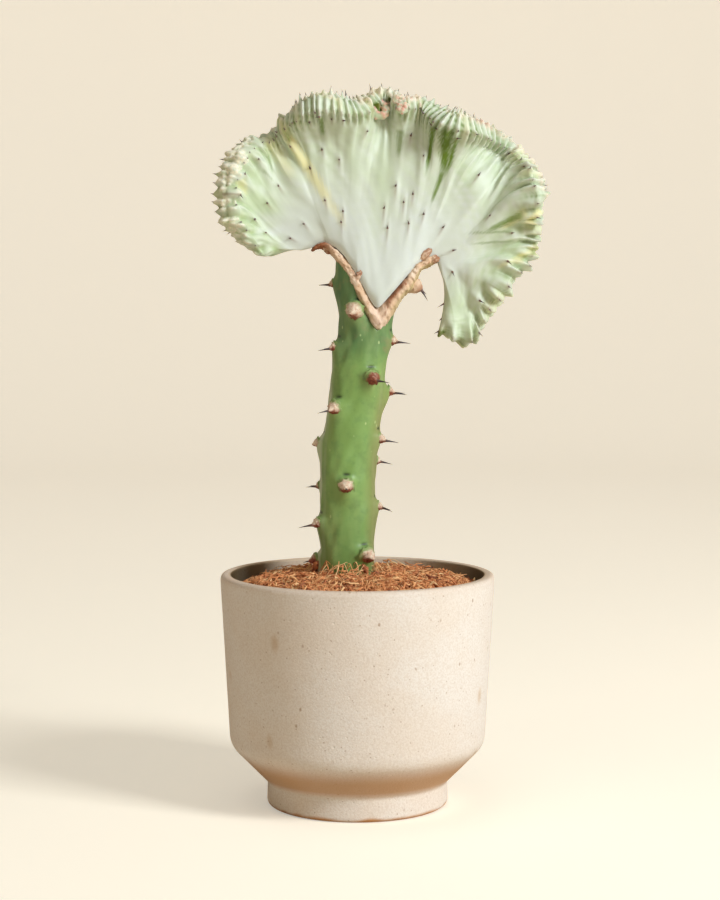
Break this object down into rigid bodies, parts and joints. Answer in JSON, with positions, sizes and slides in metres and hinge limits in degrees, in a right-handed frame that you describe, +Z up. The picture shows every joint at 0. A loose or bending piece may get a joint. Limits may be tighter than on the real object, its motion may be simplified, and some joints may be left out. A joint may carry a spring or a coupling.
{
  "type": "potted coral cactus",
  "caption": "Crested fan-shaped succulent grafted on a spiny green stem, standing in coir in a footed stoneware pot.",
  "frame": {"origin": "middle of the pot's flat underside, on the ground, where the pot's axis meets it", "axes": "+Z up along the pot's axis, -Y towards the front of the crest, +X towards its hanging right lobe"},
  "size_m": [0.159, 0.13, 0.3382],
  "materials": {
    "stoneware": "matt cream stoneware with small brown specks",
    "potting_mix": "dark damp potting mix",
    "coir": "dry shredded orange-brown coir fibre",
    "stem_skin": "satin waxy green skin",
    "scar_tissue": "dry corky tan scar",
    "crest_skin": "satin pale green and white skin"
  },
  "bodies": {
    "root": {"pot": "stoneware", "potting_mix": "potting_mix", "coir_mulch": "coir", "rootstock": "stem_skin", "graft_callus": "scar_tissue", "crest": "crest_skin"}
  },
  "joints": []
}
